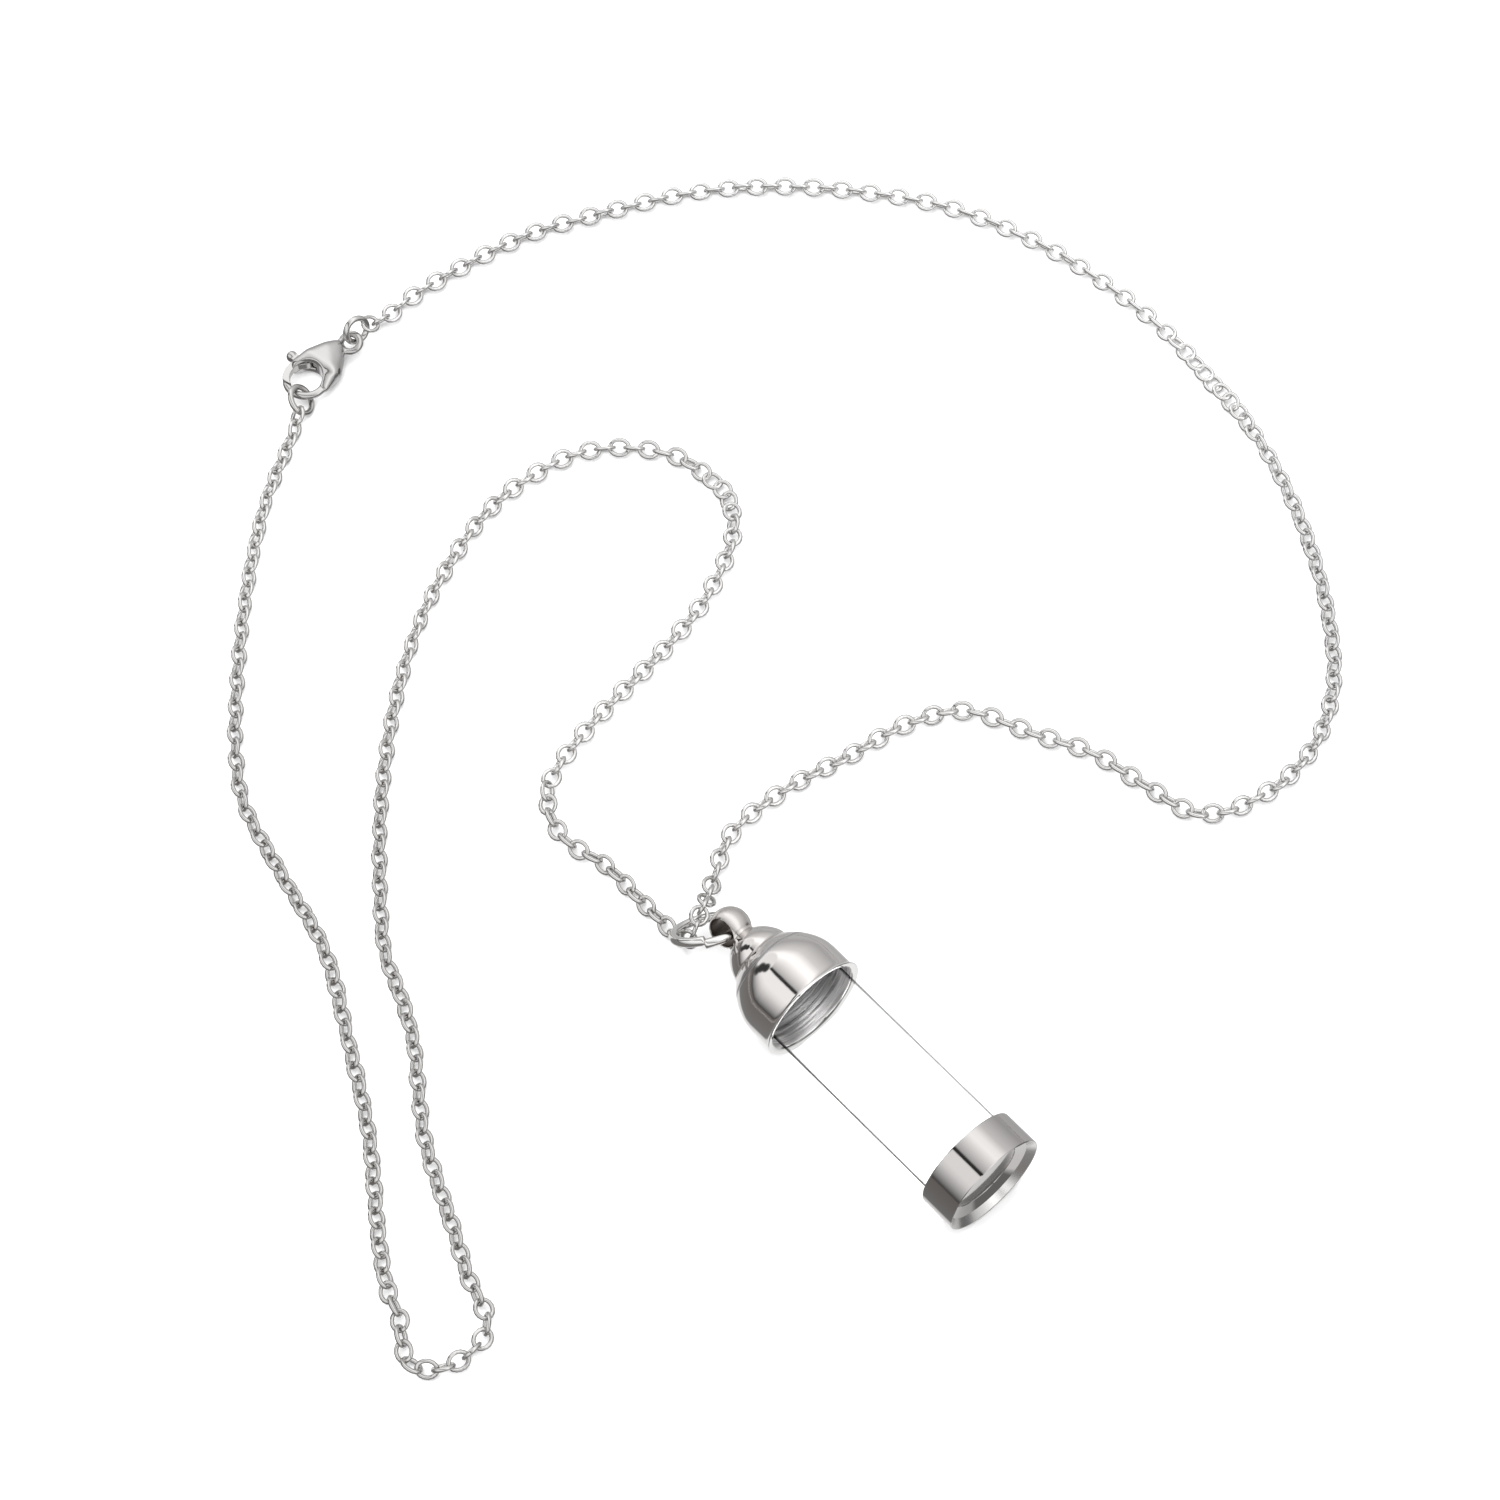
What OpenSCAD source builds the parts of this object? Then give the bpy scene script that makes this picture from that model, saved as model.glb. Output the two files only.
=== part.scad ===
// Urn necklace: a steel capped glass vial on a cable chain with a lobster clasp
// Millimetres. Z is up, the floor is z = 0, the vial lies along -Y
// The chain nodes are its envelope, a plain tube along the whole loop

/* [Vial] */
// outside radius of the cap skirt and of the base cup
skirt_r = 6.3; // [6.2:0.05:6.5]
// outside radius of the thin lip at the open end of the cap
lip_r = 6.55; // [6.45:0.05:6.6]
// radius of the ball that the bail ring goes through
ball_r = 2.3; // [2.25:0.05:2.4]
// radius of the hole through the ball
eye_r = 1.62; // [1.62:0.01:1.7]
// distance from the middle of the ball to the end of the cap
cap_reach = 13.2; // [12.8:0.1:13.6]
// outside radius of the glass tube
glass_r = 5.2; // [5.1:0.02:5.24]
// wall of the glass tube
glass_wall = 0.9; // [0.6:0.1:1.2]
// radius of the sockets that hold the glass
socket_r = 5.3; // [5.28:0.01:5.4]
// distance from the middle of the ball to the base cup
base_start = 36.5; // [34:0.1:38]
// length of the base cup
base_length = 4.4; // [4.2:0.1:4.8]
// depth of the dish in the end of the base cup
dish_depth = 1.4; // [1.0:0.1:1.6]

/* [Chain] */
// width across a link, and so across the chain
chain_width = 2.1; // [1.7:0.1:2.1]

/* [Rings] */
// radius of the wire of the bail ring
bail_wire = 0.55; // [0.45:0.01:0.56]
// middle radius of the bail ring
bail_r = 3.65; // [3.62:0.01:3.68]
// radius of the wire of the ring between the chain and the clasp
clasp_ring_wire = 0.38; // [0.3:0.01:0.4]
// radius of the wire of the ring that the hook holds
end_ring_wire = 0.35; // [0.3:0.01:0.36]

/* [Clasp] */
// full thickness of the clasp
clasp_thick = 3.0; // [2.8:0.05:3.0]
// thickness of the lever between its two cheeks
lever_thick = 1.0; // [0.8:0.05:1.05]
// radius of the hook's wire
hook_wire = 0.48; // [0.42:0.01:0.49]
// radius of the pin that the lever turns on
pin_r = 0.35; // [0.3:0.01:0.36]

/* [Hidden] */

steel = [0.72, 0.71, 0.7];
clear = [0.85, 0.92, 0.95, 0.35];
smooth = 96;

// the ball's middle, and the vial lies with its lip on the floor
ball = [-18.3, -25.9, 6.55];

// outline of the cap as [radius, distance from the ball's middle]
neck_r = 1.75;
neck_at = 1.85;
dome_r = 3.7;
dome_at = 5.0;
bore_floor = 6.6;
bore_mouth_r = 5.85;
bore_taper = 4.2;
cap_side = [
    [neck_r, neck_at], [2.0, 2.12], [2.5, 2.6], [3.0, 3.2], [3.45, 4.0], [3.65, 4.6],
    [dome_r, dome_at]];
skirt_side = [
    [3.78, 5.12], [4.3, 5.6], [4.85, 6.2], [5.4, 7.0], [5.9, 8.0], [6.2, 9.0], [skirt_r, 10.0],
    [skirt_r, 12.4], [6.4, 12.9], [lip_r, cap_reach]];
lip_flat = 0.2;
skirt_mouth = [
    [lip_r - lip_flat, cap_reach], [bore_mouth_r, cap_reach - 0.15], [bore_mouth_r - 0.15, cap_reach - 0.4],
    [socket_r, cap_reach - bore_taper]];
skirt_bore = [[socket_r, 8.4], [4.6, 7.2], [3.4, bore_floor], [0, bore_floor]];
eye_tilt = 22;
eye_turn = 4;

glass_start = 8.5;
glass_end = base_start + 2.0;
cup_floor = glass_end + 0.1;
base_end = base_start + base_length;
dish_floor = base_end - dish_depth;
dish_r = 4.2;
dish_mouth_r = 6.0;

// bail ring: middle, lean and the turn of its cut
bail = ball + [-1.66, 2.05, -1.42];
bail_lean = [0, 44.1, 66.5];
bail_cut = 164;
bail_gap = 2;

// height of the chain's middle over the floor
low = chain_width / 2 + 0.02;

// route of the chain from the end ring down the left, round and back to the bail ring
left_route = [
    [-9.5, 59, low], [-19, 53, low], [-29, 44.5, low], [-39, 34, low], [-43, 29, low],
    [-46, 24, low], [-48.5, 14.5, low], [-51, 4, low], [-56, -6, low], [-61.5, -16, low],
    [-68.5, -26, low], [-71.5, -31, low], [-72.5, -34, low], [-74.5, -37, low], [-75, -39, low],
    [-73.5, -41, low], [-71, -42, low], [-69, -42, low], [-67, -41.5, low], [-65.5, -39.5, low],
    [-64.5, -36, low], [-62, -30.5, low], [-57.5, -20.5, low], [-54.5, -16, low],
    [-51, -11, low], [-48.5, -6, low], [-46.5, -1, low], [-43, 4, low], [-34, 14.5, low],
    [-24, 23.5, low], [-14, 30, low], [-4, 34, low], [1, 35, low], [5, 35, low], [11, 34, low],
    [14, 32.5, low], [16.5, 30.5, low], [19, 27.5, low], [20.5, 24.5, low], [21, 21.5, low],
    [21, 18, low], [18.5, 14, low], [16, 12, low], [9.5, 9, low], [3, 7.5, low],
    [-11, 5.5, low], [-17, 4, low], [-20, 2.5, low], [-21.5, 0.5, low], [-22.5, -2, low],
    [-22.5, -5, low], [-21.5, -8.5, low], [-21.5, -15.5, low], [-21.5, -19, low],
    [-21.8, -21, 1.1], [-21.8, -22.4, 1.5], [-21.2, -23.1, 2.3]];

// route of the chain from the bail ring to the right, round and over the top to the clasp
right_route = [
    [-20.3, -23, 3.6], [-19.4, -22.5, 4.4], [-18.4, -21.7, 4.7], [-17.3, -20.75, 3.9],
    [-16.1, -19.7, 2.6], [-14.9, -18.9, 1.5], [-13.4, -17.9, low], [-12, -17, low],
    [-9, -15.5, low], [-5.5, -15, low], [1, -15.5, low], [8, -17, low], [14, -18, low],
    [17, -19, low], [20, -20.5, low], [22, -22.5, low], [25, -29, low], [28, -35, low],
    [29.5, -42, low], [31, -48, low], [34, -50.5, low], [37.5, -51.5, low], [41, -52, low],
    [47.5, -51, low], [54.5, -47, low], [61.5, -39, low], [67, -30, low], [71, -20.5, low],
    [73.5, -10.5, low], [74.5, 0, low], [74, 10, low], [72, 20, low], [68, 30, low],
    [62, 38.5, low], [55, 46, low], [46.5, 52.5, low], [37.5, 57, low], [28, 61, low],
    [17.5, 63, low], [11, 63.5, low], [7, 64, 1.4]];

// clasp: middle of its tail loop, and all its other points from there
clasp = [2.14, 62.99, 0];
mid = clasp_thick / 2;
tail_r = 1.15;
tail_wire = 0.42;
tail_up = 1.79;
tail_lean = [0, -13, 10];
hook_at = [-7.0, -0.3, mid];
hook_r = 2.36;
mouth_r = 1.95;
pivot = [-5.4, 1.7, mid];
lever_reach = 3.85;
lever_gap = 0.1;
slot_high = lever_thick + 0.14;
pin_fit = 0.05;
nub = [-6.2, 3.3, mid];
nub_r = 0.7;

// the lever turns on its boss and ends in a band about the hook's middle
// a disc of the lever or a ball of the cheeks is written as [x, y, radius]
boss = [pivot[0], pivot[1], 0.8];
heel = [-6.6, 2.05, 0.4];
stem_root = [-6.0, 2.0, 0.5];
stem_top = [nub[0], nub[1], 0.5];
band_from = 80;
band_turn = 90;
band_wide = 0.85;

// the hook is an arc from its tip to its root
hook_tip = 150;
hook_end = 318;

// the cheeks are one rounded form over these balls
tail_end = [-1.75, 0.7, 1.1];
tail_top = [-2.7, 0.9, 1.35];
tail_low = [-2.75, -0.4, 1.2];
cheek_top = [-4.7, 1.3, mid];
cheek_low = [-4.25, -1.25, mid];
cheek_front = [-6.3, 1.5, 1.25];

// the hook grows out of the cheeks between these two
root_start = [-4.25, -1.25, 1.4];
root_end = [-6.2, -2.62, 0.6];

// slot between the cheeks, and how far the lever's room goes right of the pivot and below it
slot_at = [-8, 0.25];
slot_long = 5.2;
slot_wide = 5;
room_right = 1;
room_low = 1.6;
far = 16;
pin_long = clasp_thick - 0.8;

clasp_ring_at = [3.56, 63.49, 2.48];
clasp_ring_lean = [0, 67.6, -89.2];
clasp_ring_r = 1.47;
end_ring_at = [-7.23, 60.78, 1.58];
end_ring_lean = [0, 48.1, -46.4];
end_ring_r = 1.65;

function unit(v) = v / norm(v);
function ahead(p, i) = unit(p[min(i + 1, len(p) - 1)] - p[max(i - 1, 0)]);
function aside(t) = unit(cross(t, [0, 0, 1]));
function rim(p, i, r, n) =
    let(t = ahead(p, i), a = aside(t), b = cross(a, t))
    [for (k = [0 : n - 1]) p[i] + r * (cos(k * 360 / n) * a + sin(k * 360 / n) * b)];

module tube(p, r) {
    n = 8;
    m = len(p);
    points = [for (i = [0 : m - 1]) for (q = rim(p, i, r, n)) q];
    sides = [for (i = [0 : m - 2]) for (k = [0 : n - 1])
        [i * n + k, i * n + (k + 1) % n, (i + 1) * n + (k + 1) % n, (i + 1) * n + k]];
    first = [for (k = [n - 1 : -1 : 0]) k];
    last = [for (k = [0 : n - 1]) (m - 1) * n + k];
    polyhedron(points = points, faces = concat(sides, [first], [last]), convexity = 8);
}

module torus(r, wire) {
    rotate_extrude($fn = smooth)
        translate([r, 0])
            circle(r = wire, $fn = 32);
}

module along_vial() {
    translate(ball)
        rotate([90, 0, 0])
            children();
}

module cap() {
    color(steel)
        difference() {
            union() {
                translate(ball)
                    rotate([0, 0, eye_turn])
                        sphere(r = ball_r, $fn = smooth);
                along_vial()
                    rotate_extrude($fn = smooth)
                        polygon(concat([[0, neck_at]], cap_side, skirt_side, skirt_mouth, skirt_bore));
            }
            translate(ball)
                rotate([0, eye_tilt - 90, eye_turn])
                    cylinder(r = eye_r, h = 3 * ball_r, center = true, $fn = smooth);
        }
}

module glass_tube() {
    color(clear)
        along_vial()
            difference() {
                translate([0, 0, glass_start])
                    cylinder(r = glass_r, h = glass_end - glass_start, $fn = smooth);
                translate([0, 0, glass_start - 1])
                    cylinder(r = glass_r - glass_wall, h = glass_end - glass_start + 2, $fn = smooth);
            }
}

module base_cup() {
    edge = 0.15;
    color(steel)
        along_vial()
            rotate_extrude($fn = smooth)
                polygon([
                    [0, cup_floor], [socket_r, cup_floor], [socket_r, base_start],
                    [skirt_r - edge, base_start], [skirt_r, base_start + edge],
                    [skirt_r, base_end - edge], [skirt_r - edge, base_end],
                    [dish_mouth_r, base_end], [dish_r, dish_floor], [0, dish_floor]]);
}

module bail_ring() {
    color(steel)
        translate(bail)
            rotate(bail_lean)
                rotate([0, 0, bail_cut + bail_gap / 2])
                    rotate_extrude(angle = 360 - bail_gap, $fn = smooth)
                        translate([bail_r, 0])
                            circle(r = bail_wire, $fn = 32);
}

module chain_left() {
    color(steel)
        tube(left_route, chain_width / 2);
}

module chain_right() {
    color(steel)
        tube(right_route, chain_width / 2);
}

module clasp_ring() {
    color(steel)
        translate(clasp_ring_at)
            rotate(clasp_ring_lean)
                torus(clasp_ring_r, clasp_ring_wire);
}

module end_ring() {
    color(steel)
        translate(end_ring_at)
            rotate(end_ring_lean)
                torus(end_ring_r, end_ring_wire);
}

module bead(p) {
    translate([p[0], p[1], mid])
        sphere(r = p[2], $fn = 32);
}

module cheeks() {
    hull() {
        bead(tail_end);
        bead(tail_top);
        bead(tail_low);
        bead(cheek_top);
        bead(cheek_low);
        bead(cheek_front);
    }
    hull() {
        bead(root_start);
        bead(root_end);
    }
}

// room that the lever needs between the cheeks
module lever_room() {
    translate(pivot)
        difference() {
            cylinder(r = lever_reach + lever_gap, h = slot_high, center = true, $fn = smooth);
            translate([-room_right, -far / 2, -clasp_thick])
                cube([far, far, 2 * clasp_thick]);
            translate([-far / 2, -room_low - far, -clasp_thick])
                cube([far, far, 2 * clasp_thick]);
        }
}

module clasp_body() {
    color(steel)
        translate(clasp)
            difference() {
                union() {
                    difference() {
                        cheeks();
                        translate(hook_at)
                            cylinder(r = mouth_r, h = 2 * clasp_thick, center = true, $fn = smooth);
                        translate([slot_at[0], slot_at[1], mid - slot_high / 2])
                            cube([slot_long, slot_wide, slot_high]);
                    }
                    translate(pivot)
                        cylinder(r = pin_r, h = pin_long, center = true, $fn = smooth);
                    translate(hook_at)
                        rotate([0, 0, hook_tip])
                            rotate_extrude(angle = hook_end - hook_tip, $fn = smooth)
                                translate([hook_r, 0])
                                    circle(r = hook_wire, $fn = 32);
                    translate([0, 0, tail_up])
                        rotate(tail_lean)
                            torus(tail_r, tail_wire);
                }
                lever_room();
            }
}

module flat_disc(p) {
    translate([p[0], p[1], mid])
        cylinder(r = p[2], h = lever_thick, center = true, $fn = 32);
}

module clasp_lever() {
    color(steel)
        translate(clasp)
            difference() {
                union() {
                    intersection() {
                        translate(hook_at)
                            rotate([0, 0, band_from])
                                rotate_extrude(angle = band_turn, $fn = smooth)
                                    translate([mouth_r, -lever_thick / 2])
                                        square([band_wide, lever_thick]);
                        translate(pivot)
                            cylinder(r = lever_reach, h = clasp_thick, center = true, $fn = smooth);
                    }
                    hull() {
                        flat_disc(boss);
                        flat_disc(heel);
                    }
                    hull() {
                        flat_disc(stem_root);
                        flat_disc(stem_top);
                    }
                    translate(nub)
                        sphere(r = nub_r, $fn = smooth);
                }
                translate(pivot)
                    cylinder(r = pin_r + pin_fit, h = clasp_thick, center = true, $fn = smooth);
            }
}

cap();
glass_tube();
base_cup();
bail_ring();
chain_left();
chain_right();
clasp_ring();
clasp_body();
clasp_lever();
end_ring();
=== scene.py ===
import math

import bmesh
import bpy
import numpy as np
from mathutils import Matrix, Vector


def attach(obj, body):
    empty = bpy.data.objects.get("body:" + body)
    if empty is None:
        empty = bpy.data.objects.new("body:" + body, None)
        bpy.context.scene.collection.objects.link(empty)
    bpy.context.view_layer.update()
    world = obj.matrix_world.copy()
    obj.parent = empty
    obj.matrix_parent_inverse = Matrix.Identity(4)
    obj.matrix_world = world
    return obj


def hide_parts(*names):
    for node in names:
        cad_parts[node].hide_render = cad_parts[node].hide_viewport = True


MM = 0.001

# Camera
# It stands where the photograph was taken from, 61 degrees above the floor.
# A long lens keeps the necklace's far side nearly as large as its near side.
camera_place = Vector((-0.1574, -0.1808, 0.4216))
camera_looks = Vector((0.3275, 0.3574, -0.8746))
camera_right = Vector((0.7373, -0.6756, 0.0))

camera_data = bpy.data.cameras.new("camera")
camera_data.sensor_width = 36
camera_data.lens = 103.2
camera_data.clip_start = 0.01
camera = bpy.data.objects.new("camera", camera_data)
camera_up = camera_right.cross(camera_looks).normalized()
turned = Matrix((camera_right, camera_up, -camera_looks)).transposed().to_4x4()
camera.matrix_world = Matrix.Translation(camera_place) @ turned
bpy.context.scene.collection.objects.link(camera)
bpy.context.scene.camera = camera

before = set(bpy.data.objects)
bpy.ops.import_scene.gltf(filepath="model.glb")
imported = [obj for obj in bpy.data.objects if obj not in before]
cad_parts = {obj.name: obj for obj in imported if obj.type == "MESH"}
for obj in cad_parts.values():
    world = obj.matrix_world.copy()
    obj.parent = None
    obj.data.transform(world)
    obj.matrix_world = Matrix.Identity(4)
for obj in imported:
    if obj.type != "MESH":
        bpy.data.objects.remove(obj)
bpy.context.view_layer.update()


# Cap
# The cap is one polished steel turning: a ball with a drilled eye, a neck, a dome and a flared skirt.
# It is hollow from its open end, where the glass tube is held.


class Sock:
    """A node's output, with arithmetic on it."""

    def __init__(self, tree, socket):
        self.tree = tree
        self.socket = socket

    def math(self, kind, other, swap=False):
        node = self.tree.nodes.new("ShaderNodeMath")
        node.operation = kind
        first, second = (1, 0) if swap else (0, 1)
        self.tree.links.new(self.socket, node.inputs[first])
        join(self.tree, other, node.inputs[second])
        return Sock(self.tree, node.outputs[0])

    def __add__(self, other):
        return self.math("ADD", other)

    __radd__ = __add__

    def __sub__(self, other):
        return self.math("SUBTRACT", other)

    def __rsub__(self, other):
        return self.math("SUBTRACT", other, swap=True)

    def __mul__(self, other):
        return self.math("MULTIPLY", other)

    __rmul__ = __mul__


def join(tree, value, socket):
    if isinstance(value, Sock):
        tree.links.new(value.socket, socket)
    else:
        socket.default_value = value


class Nodes:
    """A node tree that ends in one shader."""

    def __init__(self, tree, shader):
        self.tree = tree
        self.shader = tree.nodes[shader]

    def node(self, kind, output, settings, sockets):
        """One output of a new node. Its settings come first, then its sockets by name or number.

        A ramp's setting is its stops, each a place from 0 to 1 and a grey or a colour.
        """
        made = self.tree.nodes.new("ShaderNode" + kind)
        for key, value in settings.items():
            if key == "stops":
                elements = made.color_ramp.elements
                while len(elements) < len(value):
                    elements.new(0.5)
                for element, (at, colour) in zip(elements, value):
                    element.position = at
                    element.color = (*colour, 1) if isinstance(colour, tuple) else (*[colour] * 3, 1)
            else:
                setattr(made, key, value)
        for key, value in sockets.items():
            join(self.tree, value, made.inputs[key])
        return Sock(self.tree, made.outputs[output])

    def set(self, **sockets):
        for key, value in sockets.items():
            join(self.tree, value, self.shader.inputs[key.replace("_", " ")])
        return self

    def place(self):
        return self.node("NewGeometry", "Position", {}, {})


class Paint(Nodes):
    """A material on the Principled shader."""

    def __init__(self, name):
        self.material = bpy.data.materials.new(name)
        self.material.use_nodes = True
        super().__init__(self.material.node_tree, "Principled BSDF")


def steel(name, colour, rough, wear, marks):
    """Polished steel: roughness drifts slowly over it, and fine marks break the shine."""
    paint = Paint(name)
    drift = paint.node("TexNoise", "Fac", {}, {"Vector": paint.place(), "Scale": 260.0, "Detail": 3.0})
    fine = paint.node("TexNoise", "Fac", {}, {"Vector": paint.place(), "Scale": 2600.0, "Detail": 2.0})
    bump = paint.node("Bump", "Normal", {}, {"Height": fine, "Strength": marks, "Distance": 0.02 * MM})
    paint.set(Base_Color=(*colour, 1), Metallic=1.0, Roughness=rough + (drift - 0.5) * wear, Normal=bump)
    return paint


def mesh_object(name, verts, faces, smooth_angle=35):
    mesh = bpy.data.meshes.new(name)
    mesh.from_pydata([tuple(v) for v in verts], [], [tuple(f) for f in faces])
    mesh.update()
    work = bmesh.new()
    work.from_mesh(mesh)
    bmesh.ops.recalc_face_normals(work, faces=work.faces)
    work.to_mesh(mesh)
    work.free()
    mesh.shade_smooth()
    mesh.set_sharp_from_angle(angle=math.radians(smooth_angle))
    made = bpy.data.objects.new(name, mesh)
    bpy.context.scene.collection.objects.link(made)
    return made


def curve_through(points, steps):
    """Points along a smooth curve through the given ones, which stay on it."""
    p = np.array(points, float)
    p = np.vstack([2 * p[0] - p[1], p, 2 * p[-1] - p[-2]])
    out = []
    for i in range(1, len(p) - 2):
        a, b, c, d = p[i - 1 : i + 3]
        ta = 0.0
        tb = ta + np.linalg.norm(b - a) ** 0.5
        tc = tb + np.linalg.norm(c - b) ** 0.5
        td = tc + np.linalg.norm(d - c) ** 0.5
        for t in np.linspace(tb, tc, steps, endpoint=False):
            ab = a + (b - a) * (t - ta) / (tb - ta)
            bc = b + (c - b) * (t - tb) / (tc - tb)
            cd = c + (d - c) * (t - tc) / (td - tc)
            abc = ab + (bc - ab) * (t - ta) / (tc - ta)
            bcd = bc + (cd - bc) * (t - tb) / (td - tb)
            out.append(abc + (bcd - abc) * (t - tb) / (tc - tb))
    out.append(p[-2])
    return np.array(out)


def rounded(points, radius, steps=4):
    """The same closed outline with each corner turned on a small radius."""
    p = np.array(points, float)
    out = []
    for i in range(len(p)):
        before, here, after = p[i - 1], p[i], p[(i + 1) % len(p)]
        back, on = before - here, after - here
        near = min(radius, 0.45 * np.linalg.norm(back), 0.45 * np.linalg.norm(on))
        a = here + back / np.linalg.norm(back) * near
        b = here + on / np.linalg.norm(on) * near
        for t in np.linspace(0, 1, steps):
            out.append((1 - t) ** 2 * a + 2 * t * (1 - t) * here + t * t * b)
    return np.array(out)


def lathe(name, outline, place, axis, closed=True, segments=144, smooth_angle=35):
    """An outline of (radius, distance along the axis) turned about an axis through place."""
    axis = Vector(axis).normalized()
    side = axis.orthogonal().normalized()
    other = axis.cross(side)
    place = Vector(place)
    turn = [2 * math.pi * k / segments for k in range(segments)]
    verts, rows = [], []
    for r, s in outline:
        centre = place + axis * s
        if r < 1e-9:
            rows.append([len(verts)] * segments)
            verts.append(centre)
        else:
            rows.append(list(range(len(verts), len(verts) + segments)))
            verts += [centre + (side * math.cos(t) + other * math.sin(t)) * r for t in turn]
    faces = []
    count = len(rows)
    for i in range(count if closed else count - 1):
        a, b = rows[i], rows[(i + 1) % count]
        for k in range(segments):
            q = (k + 1) % segments
            face = list(dict.fromkeys((a[k], a[q], b[q], b[k])))
            if len(face) > 2:
                faces.append(face)
    return mesh_object(name, verts, faces, smooth_angle)


def cut(target, tool):
    """Takes tool's shape out of target and removes tool."""
    change = target.modifiers.new("cut", "BOOLEAN")
    change.operation = "DIFFERENCE"
    change.solver = "EXACT"
    change.object = tool
    bake(target)
    bpy.data.objects.remove(tool)


def bake(target):
    """Turns an object's modifiers into its mesh."""
    shape = bpy.data.meshes.new_from_object(target.evaluated_get(bpy.context.evaluated_depsgraph_get()))
    target.modifiers.clear()
    target.data = shape


def finished(piece, material, body, node):
    piece.data.materials.clear()
    for m in material if isinstance(material, list) else [material]:
        piece.data.materials.append(m)
    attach(piece, body)
    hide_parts(node)


ball_place = Vector((-18.3, -25.9, 6.55)) * MM
vial_axis = (0, -1, 0)
ball_r = 2.3

# Where its finishes meet: radii, and distances from the middle of the ball along the vial, in mm
ball_to = 1.72
eye_r = 1.64
hollow_from = 6.4
bore_straight_to = 8.9
bore_r = 5.3
bore_widens = 0.13
lip_from = 12.9
mouth_r = 5.6

cap_paint = steel("cap_steel", (0.72, 0.695, 0.68), 0.07, 0.05, 0.06)
ball_paint = steel("ball_steel", (0.68, 0.655, 0.635), 0.22, 0.12, 0.25)
# The eye's walls are painted dark: painted shade inside the drilled hole.
eye_painted_shade = steel("eye_steel_painted_shade", (0.3, 0.27, 0.25), 0.3, 0.1, 0.3)
# The lip's outside is painted much lighter than the rest of the cap: a painted highlight.
lip_painted_highlight = steel("lip_steel_painted_highlight", (0.93, 0.92, 0.91), 0.06, 0.05, 0.06)

# The hollow keeps the turning tool's rings: noise drawn out round the axis and fine along it
cap_inside = Paint("cap_inside_steel")
drawn_out = cap_inside.node(
    "VectorMath", "Vector", {"operation": "MULTIPLY"}, {0: cap_inside.place(), 1: (0.04, 1, 0.04)}
)
rings = cap_inside.node("TexNoise", "Fac", {}, {"Vector": drawn_out, "Scale": 3200.0, "Detail": 4.0})
tooled = cap_inside.node("Bump", "Normal", {}, {"Height": rings, "Strength": 0.6, "Distance": 0.1 * MM})
# The hollow's colour is darker overall than the outside's, which is painted shade. It turns lighter and
# darker along the tool's rings, which are painted glints; the rings themselves are real bumps.
hollow_painted_shade_and_glint_stops = [(0.32, (0.28, 0.27, 0.27)), (0.5, (0.52, 0.51, 0.51)), (0.66, (0.85, 0.84, 0.84))]
rings_painted_glint_and_shade = cap_inside.node("ValToRGB", "Color", {"stops": hollow_painted_shade_and_glint_stops}, {"Fac": rings})
cap_inside.set(Base_Color=rings_painted_glint_and_shade, Metallic=1.0, Roughness=0.3 + rings * 0.25, Normal=tooled)

ball_side = [(ball_r * math.sin(a), -ball_r * math.cos(a)) for a in np.radians(np.arange(0, 134, 3))]
neck_points = [
    (1.72, 1.7), (1.76, 1.88), (2.0, 2.14), (2.5, 2.6), (3.0, 3.2), (3.45, 4.0), (3.65, 4.6), (3.7, 4.98)
]
dome_points = [(3.78, 5.12), (4.3, 5.6), (4.85, 6.2), (5.4, 7.0), (5.9, 8.0), (6.2, 9.0), (6.3, 10.0)]
neck_side = curve_through(neck_points, 4)
dome_side = curve_through(dome_points, 4)
lip_side = [
    (6.3, 12.4), (6.36, 12.75), (6.45, 12.95), (6.54, 13.05), (6.56, 13.14), (6.5, 13.2), (6.38, 13.2)
]
mouth_side = [(6.0, 13.12), (5.86, 13.05), (5.76, 12.92), (5.7, 12.76)]
bore_side = [
    (5.31, 9.05), (5.3, 8.9), (5.3, 8.45), (5.2, 8.2), (4.6, 7.2), (3.5, 6.65), (3.2, 6.6), (0, 6.6)
]
cap_outline = [*ball_side, *neck_side, *dome_side, *lip_side, *mouth_side, *bore_side]
cap = lathe("cap_turning", np.array(cap_outline) * MM, ball_place, vial_axis, closed=False)

eye_axis = Vector((-0.925, -0.065, 0.375))
eye_half = [
    (1.62, 0), (1.62, 1.1), (1.645, 1.32), (1.72, 1.5), (1.86, 1.64), (2.08, 1.78), (2.08, 3.4), (0, 3.4)
]
eye_outline = [(r, -s) for r, s in reversed(eye_half)] + eye_half[1:]
eye_tool = lathe("eye_tool", np.array(eye_outline) * MM, ball_place, eye_axis, closed=False, segments=96)
cut(cap, eye_tool)
cap.data.shade_smooth()
cap.data.set_sharp_from_angle(angle=math.radians(35))

outside, inside, on_ball, in_eye, on_lip = range(5)
cap_paints = [paint.material for paint in (cap_paint, cap_inside, ball_paint, eye_painted_shade, lip_painted_highlight)]
finished(cap, cap_paints, "necklace", "cap")
for face in cap.data.polygons:
    spot = (face.center - ball_place) / MM
    reach = -spot.y
    off = math.hypot(spot.x, spot.z)
    from_eye = spot.cross(eye_axis).length
    bore_there = bore_r + bore_widens * max(0, reach - bore_straight_to)
    if reach > lip_from and off > mouth_r:
        face.material_index = on_lip
    elif reach > hollow_from and off < bore_there:
        face.material_index = inside
    elif reach < ball_to:
        face.material_index = in_eye if from_eye < eye_r else on_ball
    else:
        face.material_index = outside
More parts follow.
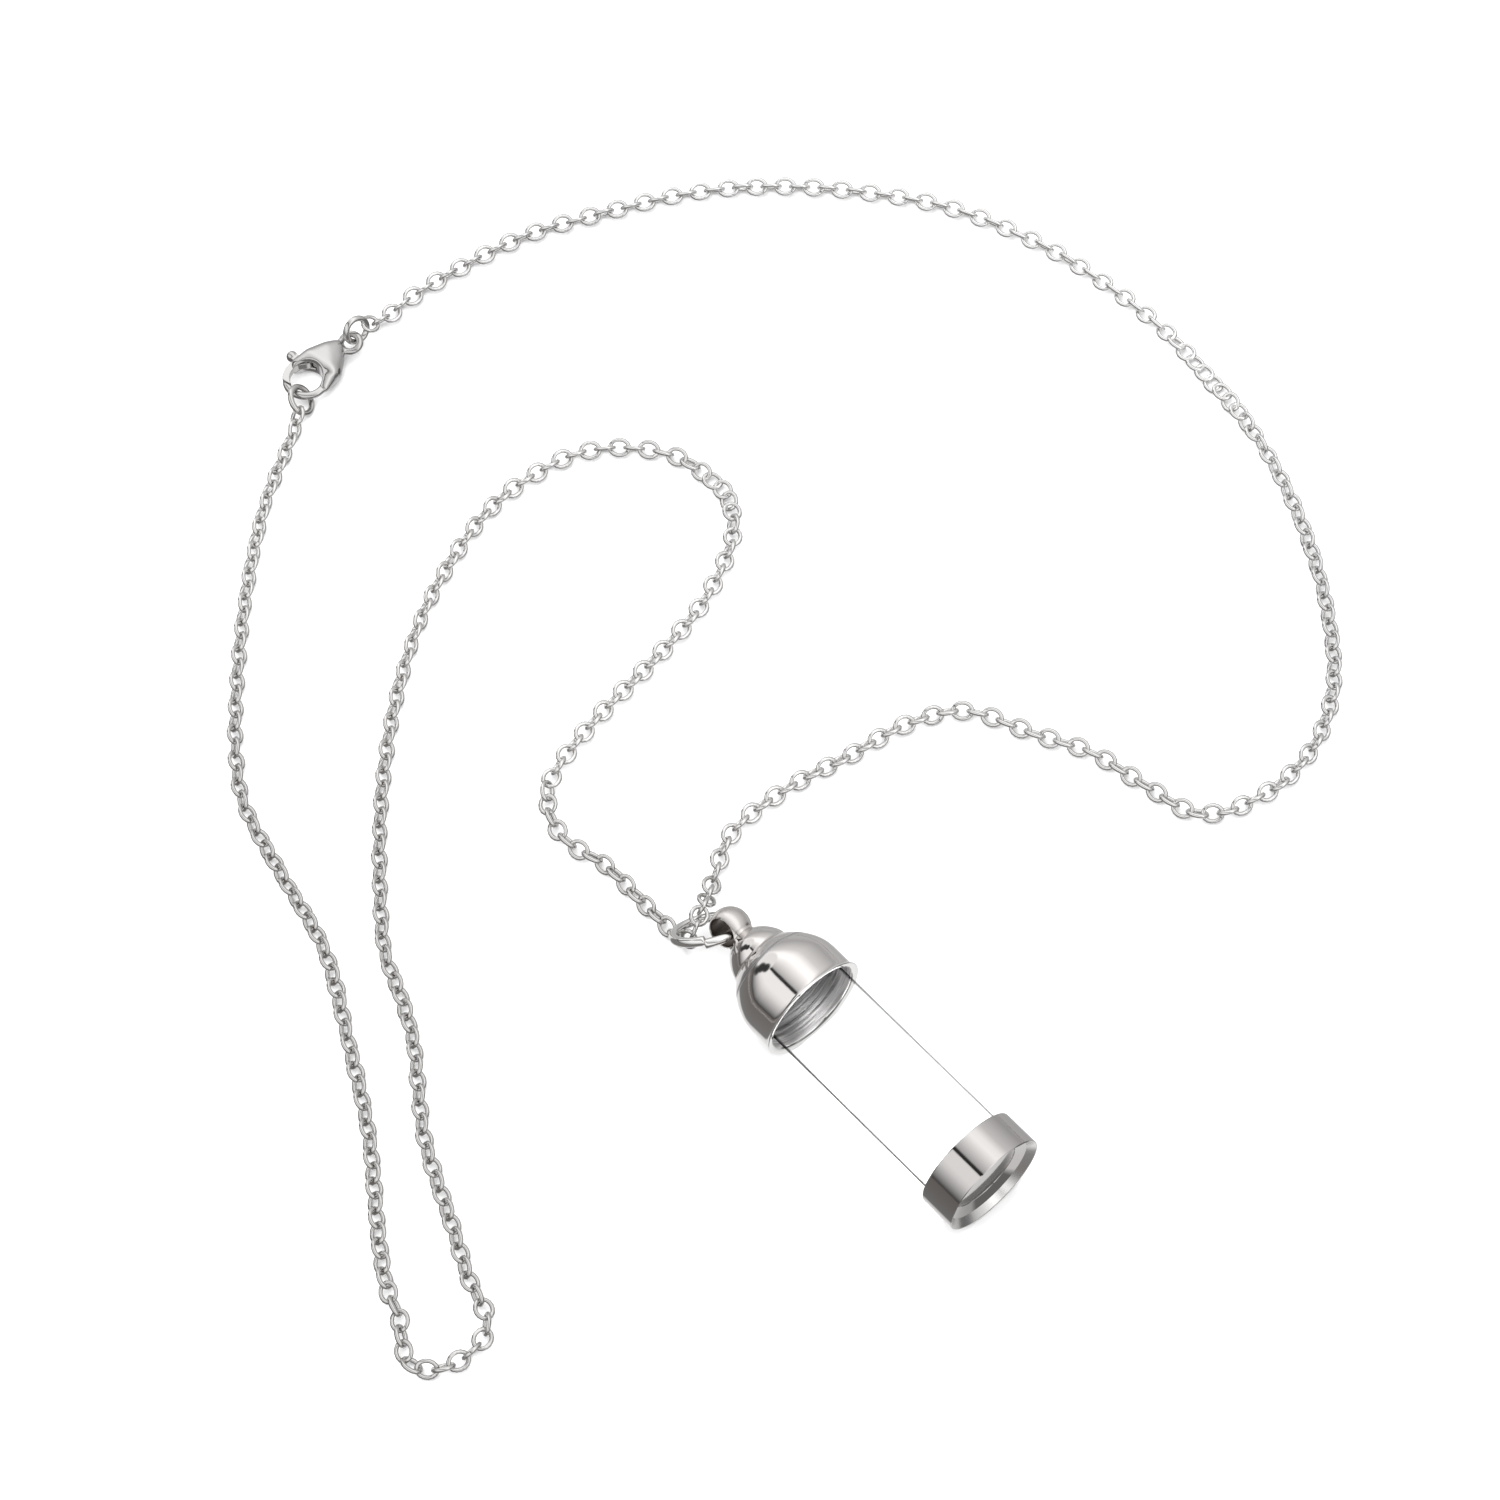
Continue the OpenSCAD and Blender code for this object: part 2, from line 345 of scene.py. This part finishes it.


# Glass tube
# A clear tube with fire polished ends, held in the cap and in the base cup.
# Where its wall is seen edge-on the glass is painted grey. This painted shade stands in for the dark
# surroundings seen in it, so its two sides show as thin lines, the left one painted darker.
glass_r = 5.2
glass_wall = 0.9
glass_start = 8.5
glass_end = 38.5
glass_in = glass_r - glass_wall
end_round = 0.3
glass_corners = [
    (glass_r, glass_start), (glass_r, glass_end), (glass_in, glass_end), (glass_in, glass_start)
]
glass_outline = rounded(glass_corners, end_round)
glass = lathe("glass_tube_clear", glass_outline * MM, ball_place, vial_axis, smooth_angle=60)
glass_clear = Paint("clear_glass")
glass_clear.set(Base_Color=(0.99, 0.995, 0.995, 1), Roughness=0.0, IOR=1.0, Transmission_Weight=1.0)


def glass_with_painted_edge_shade(name, level):
    """Glass whose colour is painted darker, to a level, where its wall is seen edge-on: painted shade at
    its edges.
    """
    paint = Paint(name)
    along = paint.node("LayerWeight", "Facing", {}, {"Blend": 0.5})
    painted_edge_shade_stops = [(0.0, 0.99), (0.66, 0.95), (0.75, level), (1.0, level / 2)]
    painted_edge_shade = paint.node("ValToRGB", "Color", {"stops": painted_edge_shade_stops}, {"Fac": along})
    paint.set(Base_Color=painted_edge_shade, Roughness=0.0, IOR=1.0, Transmission_Weight=1.0)
    return paint.material


bore, left, right = range(3)
glass_paints = [
    glass_clear.material, glass_with_painted_edge_shade("clear_glass_painted_shade_left", 0.12), glass_with_painted_edge_shade("clear_glass_painted_shade_right", 0.26)
]
finished(glass, glass_paints, "necklace", "glass_tube")
for face in glass.data.polygons:
    spot = (face.center - ball_place) / MM
    if math.hypot(spot.x, spot.z) < glass_r - 0.1:
        face.material_index = bore
    else:
        face.material_index = left if spot.x < 0 else right
glass.visible_shadow = False


# Base cup
# A polished steel cup fixed on the glass. Its end is dished, with a flat floor
# and a fine groove round it, and the slope inside its rim is less polished.
base_start = 36.5
base_end = 40.9
rim_in = 6.16
slope_in = 5.45
cup_outline = [
    (0, 38.6), (5.3, 38.6), (5.3, base_start + 0.1), (5.38, base_start), (6.15, base_start),
    (6.26, base_start + 0.04), (6.3, base_start + 0.15), (6.3, base_end - 0.07), (6.24, base_end),
    (rim_in, base_end - 0.03), (slope_in, base_end - 0.8), (4.3, base_end - 1.34),
    (4.24, base_end - 1.41), (4.18, base_end - 1.36), (0, base_end - 1.36),
]
base_cup = lathe(
    "base_cup_turning", np.array(cup_outline) * MM, ball_place, vial_axis, closed=False, smooth_angle=10
)
base_paint = steel("base_steel", (0.58, 0.56, 0.55), 0.06, 0.05, 0.06)
slope_paint = steel("base_slope_steel", (0.86, 0.85, 0.84), 0.26, 0.1, 0.1)
finished(base_cup, [base_paint.material, slope_paint.material], "necklace", "base_cup")
for face in base_cup.data.polygons:
    spot = (face.center - ball_place) / MM
    on_slope = -spot.y > base_end - 0.7 and slope_in < math.hypot(spot.x, spot.z) < rim_in - 0.01
    face.material_index = 1 if on_slope else 0


# Bail ring
# A steel jump ring of round wire, bent through the ball's eye.
# Its cut ends stand a little apart, and the chain runs through it.
def frames_along(path, closed, up=(0, 0, 1)):
    """Tangent and two side directions at each point, without twist."""
    path = np.array(path, float)
    if closed:
        ahead = np.roll(path, -1, 0) - np.roll(path, 1, 0)
    else:
        ahead = np.gradient(path, axis=0)
    ahead /= np.linalg.norm(ahead, axis=1)[:, None]
    side = np.cross(ahead, np.array(up, float))
    side /= np.linalg.norm(side, axis=1)[:, None]
    return ahead, side, np.cross(side, ahead)


def wire(name, path, radius, closed, up, sides=20):
    """A round wire along a path, with domed ends where it isn't closed."""
    ahead, side, over = frames_along(path, closed, up)
    angles = np.arange(sides) * 2 * math.pi / sides
    ring = np.cos(angles)[None, :, None] * side[:, None] + np.sin(angles)[None, :, None] * over[:, None]
    rows = np.array(path)[:, None] + radius * ring
    if not closed:
        def end(i, direction):
            middle = np.array(path)[i]
            dome = [(0.35 * math.sin(a), math.cos(a)) for a in (0.5, 1.0)]
            return [middle + radius * out * direction + radius * across * ring[i] for out, across in dome]

        first = end(0, -ahead[0])[::-1]
        last = end(-1, ahead[-1])
        rows = np.concatenate([np.array(first), rows, np.array(last)])
    count = len(rows)
    verts = rows.reshape(-1, 3)
    faces = []
    for i in range(count if closed else count - 1):
        for k in range(sides):
            q = (k + 1) % sides
            j = (i + 1) % count
            faces.append((i * sides + k, i * sides + q, j * sides + q, j * sides + k))
    if not closed:
        faces.append(tuple(range(sides))[::-1])
        faces.append(tuple((count - 1) * sides + k for k in range(sides)))
    return mesh_object(name, verts, faces, 50)


def ring_path(place, lean, radius, start=0, stop=360, rise=0.0, steps=112):
    """Points round a ring that leans by the same three turns as in the part's source."""
    x, y, z = (math.radians(a) for a in lean)
    turn = Matrix.Rotation(z, 3, "Z") @ Matrix.Rotation(y, 3, "Y") @ Matrix.Rotation(x, 3, "X")
    whole = stop - start >= 360
    out = []
    for k in range(steps):
        share = k / steps if whole else k / (steps - 1)
        a = math.radians(start + (stop - start) * share)
        on_ring = Vector((radius * math.cos(a), radius * math.sin(a), rise * (share - 0.5)))
        out.append(Vector(place) + turn @ on_ring)
    return [tuple(p) for p in out], tuple(turn @ Vector((0, 0, 1)))


# The bail ring's steel is painted lighter than the other jump rings' steel: a painted highlight.
bail_painted_light = steel("bail_steel_painted_light", (0.78, 0.77, 0.76), 0.09, 0.06, 0.1)
bail_place = ball_place + Vector((-1.66, 2.05, -1.42)) * MM
bail_lean = (0, 44.1, 66.5)
bail_r = 3.65 * MM
bail_wire = 0.55 * MM
bail_path, bail_up = ring_path(bail_place, bail_lean, bail_r, start=165.0, stop=523.0, rise=0.4 * MM)
bail = wire("bail_ring_wire", bail_path, bail_wire, False, bail_up, sides=24)
finished(bail, bail_painted_light.material, "necklace", "bail_ring")


# Chain
# Oval steel links of a cable chain, each turned a quarter from the one before, pulled just taut.
# One run goes from the end ring to the bail ring, the other from there to the clasp ring.
# The routes are places in metres along the middle of the chain, which lies this high:
low = 0.00107
left_route = [
    (-0.0089, 0.0594, 0.0014), (-0.0101, 0.0585, low), (-0.019, 0.053, low), (-0.029, 0.0445, low),
    (-0.039, 0.034, low), (-0.043, 0.029, low), (-0.046, 0.024, low), (-0.0485, 0.0145, low),
    (-0.051, 0.004, low), (-0.056, -0.006, low), (-0.0615, -0.016, low), (-0.0685, -0.026, low),
    (-0.0715, -0.031, low), (-0.0725, -0.034, low), (-0.0745, -0.037, low), (-0.075, -0.039, low),
    (-0.0735, -0.041, low), (-0.071, -0.042, low), (-0.069, -0.042, low), (-0.067, -0.0415, low),
    (-0.0655, -0.0395, low), (-0.0645, -0.036, low), (-0.062, -0.0305, low), (-0.0575, -0.0205, low),
    (-0.0545, -0.016, low), (-0.051, -0.011, low), (-0.0485, -0.006, low), (-0.0465, -0.001, low),
    (-0.043, 0.004, low), (-0.034, 0.0145, low), (-0.024, 0.0235, low), (-0.014, 0.03, low),
    (-0.004, 0.034, low), (0.001, 0.035, low), (0.005, 0.035, low), (0.011, 0.034, low),
    (0.014, 0.0325, low), (0.0165, 0.0305, low), (0.019, 0.0275, low), (0.0205, 0.0245, low),
    (0.021, 0.0215, low), (0.021, 0.018, low), (0.0185, 0.014, low), (0.016, 0.012, low),
    (0.0095, 0.009, low), (0.003, 0.0075, low), (-0.011, 0.0055, low), (-0.017, 0.004, low),
    (-0.02, 0.0025, low), (-0.0215, 0.0005, low), (-0.0225, -0.002, low), (-0.0225, -0.005, low),
    (-0.0215, -0.0085, low), (-0.0215, -0.0155, low), (-0.0215, -0.019, low), (-0.02164, -0.0199, low),
    (-0.0217, -0.0208, 0.001),
]
right_route = [
    (-0.0213, -0.0225, 0.0026), (-0.0207, -0.0227, 0.0041), (-0.0197, -0.0222, 0.0048),
    (-0.0185, -0.0214, 0.0045), (-0.0173, -0.0207, 0.0035), (-0.0161, -0.0198, 0.0022),
    (-0.0149, -0.0189, 0.0013), (-0.0131, -0.0178, low), (-0.0116, -0.0168, low),
    (-0.009, -0.0155, low), (-0.0055, -0.015, low), (0.001, -0.0155, low), (0.008, -0.017, low),
    (0.014, -0.018, low), (0.017, -0.019, low), (0.02, -0.0205, low), (0.022, -0.0225, low),
    (0.025, -0.029, low), (0.028, -0.035, low), (0.0295, -0.042, low), (0.031, -0.048, low),
    (0.034, -0.0505, low), (0.0375, -0.0515, low), (0.041, -0.052, low), (0.0475, -0.051, low),
    (0.0545, -0.047, low), (0.0615, -0.039, low), (0.067, -0.03, low), (0.071, -0.0205, low),
    (0.0735, -0.0105, low), (0.0745, 0.0, low), (0.074, 0.01, low), (0.072, 0.02, low),
    (0.068, 0.03, low), (0.062, 0.0385, low), (0.055, 0.046, low), (0.0465, 0.0525, low),
    (0.0375, 0.057, low), (0.028, 0.061, low), (0.0175, 0.063, low), (0.011, 0.0635, low),
    (0.0089, 0.0633, low), (0.0073, 0.0633, 0.0012), (0.0055, 0.0633, 0.002),
]
link_pitch = 1.72 * MM
link_length = 2.74 * MM
link_width = 2.34 * MM
link_wire = 0.51 * MM
link_thick = 0.5 * MM


def link_shape(around=16):
    """One link's corners and faces: an oval ring of a round wire with six sides."""
    verts, faces = [], []
    section = [(1, 0), (0.5, 0.9), (-0.5, 0.9), (-1, 0), (-0.5, -0.9), (0.5, -0.9)]
    for k in range(around):
        a = 2 * math.pi * (k + 0.5) / around
        outer = np.array([math.cos(a) * link_length / 2, math.sin(a) * link_width / 2])
        inner_length, inner_width = link_length / 2 - link_wire, link_width / 2 - link_wire
        inner = np.array([math.cos(a) * inner_length, math.sin(a) * inner_width])
        middle, half = (outer + inner) / 2, (outer - inner) / 2
        for across, up in section:
            x, y = middle + half * across
            verts.append((x, y, up * link_thick / 2))
    for k in range(around):
        q = (k + 1) % around
        for m in range(6):
            n = (m + 1) % 6
            faces.append((k * 6 + m, q * 6 + m, q * 6 + n, k * 6 + n))
    return np.array(verts), np.array(faces)


def links_along(name, route, leans, first_link):
    """Links set along a route at their pitch.

    A row of leans is a share of the length, and the lean there of two links that meet, in degrees.
    """
    path = curve_through(route, 24)
    steps = np.linalg.norm(np.diff(path, axis=0), axis=1)
    run = np.concatenate([[0], np.cumsum(steps)])
    count = int(round(run[-1] / link_pitch)) + 1
    at = np.linspace(0, run[-1], count)
    place = np.array([np.interp(at, run, path[:, i]) for i in range(3)]).T
    ahead, side, over = frames_along(place, False)
    share = at / run[-1]
    wide = np.interp(share, [row[0] for row in leans], [row[1] for row in leans])
    narrow = np.interp(share, [row[0] for row in leans], [row[2] for row in leans])
    chance = np.random.default_rng(7)
    scatter = 4
    second = (np.arange(count) + first_link) % 2 == 1
    lean = np.radians(np.where(second, narrow, wide) + chance.normal(0, scatter, count))
    need = np.abs(np.sin(lean)) * link_width / 2 + np.abs(np.cos(lean)) * link_thick / 2
    beside = np.concatenate([need[:1], need, need[-1:]])
    place[:, 2] += np.maximum(np.maximum(beside[:-2], beside[2:]), need) - low
    lean = lean[:, None]
    flat = np.cos(lean) * side + np.sin(lean) * over
    face = np.cross(ahead, flat)
    verts, faces = link_shape()
    every = (
        place[:, None]
        + verts[None, :, 0, None] * ahead[:, None]
        + verts[None, :, 1, None] * flat[:, None]
        + verts[None, :, 2, None] * face[:, None]
    )
    step = np.arange(count)[:, None, None] * len(verts)
    all_faces = (faces[None] + step).reshape(-1, 4)
    made = mesh_object(name, every.reshape(-1, 3), all_faces, 80)
    return made, count


left_leans = [
    (0, -42, 64), (0.05, -42, 62), (0.1, -47, 50), (0.15, -62, 38), (0.2, -57, 35), (0.3, -50, 42),
    (0.335, -30, 50), (0.345, -15, 75), (0.36, -40, 50), (0.375, -30, 60), (0.39, 0, 75),
    (0.41, -30, 60), (0.5, -40, 52), (0.58, -46, 54), (0.65, -52, 52), (0.7, -45, 50), (0.73, -30, 60),
    (0.77, -35, 55), (0.81, 10, -62), (0.88, 30, -48), (0.92, 10, -60), (0.93, -15, 70),
    (0.95, -30, 55), (0.97, -45, 45), (1, -45, 45),
]
right_leans = [
    (0, -20, 70), (0.03, -12, 75), (0.1, -38, 50), (0.16, -30, 50), (0.2, -30, 55), (0.28, -38, 48),
    (0.36, -28, 58), (0.41, -30, 55), (0.45, -30, 60), (0.52, -15, 82), (0.6, 8, -65), (0.66, 20, -60),
    (0.75, 26, -60), (1, 26, -62),
]
chain_paint = steel("chain_steel", (0.6, 0.59, 0.58), 0.1, 0.06, 0.1)
# The chain's colour changes with place, mostly lighter towards the right and darker towards the left:
# painted light and shade on one steel.
to_the_right = chain_paint.node(
    "VectorMath", "Value", {"operation": "DOT_PRODUCT"}, {0: chain_paint.place(), 1: (1, 0.3, 0)}
)
painted_light_stops = [
    (0.29, (0.62, 0.61, 0.6)), (0.44, (0.76, 0.75, 0.74)),
    (0.8, (0.72, 0.715, 0.71)), (0.94, (0.88, 0.875, 0.87)),
]
painted_light_by_place = chain_paint.node("ValToRGB", "Color", {"stops": painted_light_stops}, {"Fac": to_the_right * 6 + 0.5})
chain_paint.set(Base_Color=painted_light_by_place)
left_links, left_count = links_along("chain_left_links", left_route, left_leans, 0)
right_links, _ = links_along("chain_right_links", right_route, right_leans, left_count)
finished(left_links, chain_paint.material, "necklace", "chain_left")
finished(right_links, chain_paint.material, "necklace", "chain_right")


# Clasp ring
# A closed steel jump ring between the chain's last link and the clasp's tail loop.
# It leans steeply, held up by the loop that it goes through.
wire_paint = steel("wire_steel", (0.64, 0.63, 0.62), 0.08, 0.06, 0.1)
clasp_ring_place = Vector((3.56, 63.49, 2.48)) * MM
clasp_ring_lean = (0, 67.6, -89.2)
clasp_ring_r = 1.47 * MM
clasp_ring_wire = 0.38 * MM
clasp_ring_path, clasp_ring_up = ring_path(clasp_ring_place, clasp_ring_lean, clasp_ring_r)
clasp_ring = wire("clasp_ring_wire", clasp_ring_path, clasp_ring_wire, True, clasp_ring_up)
finished(clasp_ring, wire_paint.material, "necklace", "clasp_ring")


# Clasp body
# One steel casting: a tail loop, two cheeks that hold the lever, and the hook.
# Castings like this are tumbled, so its edges are soft and its cheeks are well rounded.
def softened(name, node, grain, rounds, cheeks=None):
    """A copy of a CAD node with its edges worn round.

    cheeks are the middle and the half length, along x, of the stretch that is worn much more.
    """
    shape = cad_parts[node].data.copy()
    shape.name = name
    made = bpy.data.objects.new(name, shape)
    bpy.context.scene.collection.objects.link(made)
    weld = made.modifiers.new("weld", "WELD")
    weld.merge_threshold = 0.002 * MM
    solid = made.modifiers.new("solid", "REMESH")
    solid.mode = "VOXEL"
    solid.voxel_size = grain
    worn = made.modifiers.new("worn", "SMOOTH")
    worn.factor = 0.5
    worn.iterations = rounds
    bake(made)
    if cheeks:
        middle, half = cheeks
        group = made.vertex_groups.new(name="cheeks")
        for point in made.data.vertices:
            off = abs(point.co.x - middle) / half
            group.add([point.index], max(0.0, min(1.0, 2 - 2 * off)), "REPLACE")
        round_off = made.modifiers.new("round_off", "SMOOTH")
        round_off.factor = 0.5
        round_off.iterations = 110
        round_off.vertex_group = "cheeks"
        bake(made)
    made.data.shade_smooth()
    return made


clasp_paint = steel("clasp_steel", (0.57, 0.56, 0.555), 0.15, 0.08, 0.15)
clasp_body = softened("clasp_body_casting", "clasp_body", 0.06 * MM, 14, cheeks=(-0.9 * MM, 3.4 * MM))
finished(clasp_body, clasp_paint.material, "necklace", "clasp_body")


# Clasp lever
# A small steel casting that turns on a pin between the cheeks and shuts against the hook's tip.
# Its nub sticks out for a thumb.
clasp_lever = softened("clasp_lever_casting", "clasp_lever", 0.05 * MM, 5)
finished(clasp_lever, clasp_paint.material, "lever", "clasp_lever")


# End ring
# A closed steel jump ring on the chain's first link.
# The clasp's hook goes through it and holds the necklace shut.
end_ring_place = Vector((-7.23, 60.78, 1.58)) * MM
end_ring_lean = (0, 48.1, -46.4)
end_ring_r = 1.65 * MM
end_ring_wire = 0.35 * MM
end_ring_path, end_ring_up = ring_path(end_ring_place, end_ring_lean, end_ring_r)
end_ring = wire("end_ring_wire", end_ring_path, end_ring_wire, True, end_ring_up)
finished(end_ring, wire_paint.material, "necklace", "end_ring")


# Floor and light
# A plain white table under a broad soft light tent, bright overhead and darker towards the table,
# with a narrow black arm across it. The metal mirrors the tent and not the table.
floor_mesh = bpy.data.meshes.new("floor")
far = 3.0
corners = [(-far, -far, 0), (far, -far, 0), (far, far, 0), (-far, far, 0)]
floor_mesh.from_pydata(corners, [], [(0, 1, 2, 3)])
floor = bpy.data.objects.new("floor", floor_mesh)
bpy.context.scene.collection.objects.link(floor)
floor_paint = Paint("white_table")
floor_paint.set(Base_Color=(0.93, 0.93, 0.93, 1), Roughness=0.9, Specular_IOR_Level=0.0)
floor_mesh.materials.append(floor_paint.material)
floor.visible_glossy = False

world = bpy.data.worlds.new("tent")
world.use_nodes = True
bpy.context.scene.world = world
tent = Nodes(world.node_tree, "Background")
towards = tent.node("TexCoord", "Generated", {}, {})
east = tent.node("SeparateXYZ", "X", {}, {"Vector": towards})
up = tent.node("SeparateXYZ", "Z", {}, {"Vector": towards})
around = east.math("ARCTAN2", up) * (0.5 / math.pi) + 0.5


def tilt(degrees):
    """Where the ramp has a direction that is tilted from overhead towards the east."""
    return degrees / 360 + 0.5


panel_stops = [
    (tilt(-180), 0.9), (tilt(-166), 0.85), (tilt(-158), 0.24), (tilt(-98), (0.2, 0.185, 0.175)),
    (tilt(-94), 0.08), (tilt(-86), 0.32), (tilt(-60), 1.0), (tilt(-50), 1.16), (tilt(-26), 1.16),
    (tilt(-24), 0.04), (tilt(-19), 0.03), (tilt(-16), 0.6), (tilt(19), 1.5), (tilt(32), 1.4),
    (tilt(48), 0.9), (tilt(90), 0.5), (tilt(108), 0.6), (tilt(135), 0.5), (tilt(156), 0.85),
    (tilt(180), 0.9),
]
panels = tent.node("ValToRGB", "Color", {"stops": panel_stops}, {"Fac": around})


def with_patch(below, middle, stops, level):
    """The light below with one round patch of another level over it, faded by its stops."""
    near = tent.node("VectorMath", "Value", {"operation": "DOT_PRODUCT"}, {0: towards, 1: middle})
    share = tent.node("ValToRGB", "Color", {"stops": stops}, {"Fac": near})
    patch = (level, level, level, 1)
    return tent.node("Mix", 2, {"data_type": "RGBA"}, {0: share, 6: below, 7: patch})


# Each row is a patch's middle, the stops of its edge and its level
arm_edge = [(0.988, 0.0), (0.994, 1.0)]
patches = [
    ((-0.1, 0.93, 0.36), [(0.95, 0.0), (0.965, 1.0)], 1.05),
    ((-0.26, 0.86, 0.44), arm_edge, 0.05),
    ((-0.27, 0.925, 0.27), arm_edge, 0.05),
    ((-0.34, 0.93, 0.12), arm_edge, 0.05),
    ((0.2, -0.94, -0.27), [(0.9, 0.0), (0.94, 1.0)], 0.2),
    ((0.78, -0.55, -0.28), [(0.93, 0.0), (0.96, 1.0)], 0.12),
]
light = panels
for middle, stops, level in patches:
    light = with_patch(light, middle, stops, level)
tent.set(Color=light)

softbox = bpy.data.lights.new("key_light", "AREA")
softbox.shape = "RECTANGLE"
softbox.size = 1.8
softbox.size_y = 1.8
softbox.energy = 30
key_light = bpy.data.objects.new("key_light", softbox)
key_light.location = (-0.2, 0.3, 1.2)
key_light.rotation_euler = (-key_light.location).to_track_quat("-Z", "Y").to_euler()
key_light.visible_glossy = False
bpy.context.scene.collection.objects.link(key_light)
bpy.context.scene.view_settings.view_transform = "Standard"
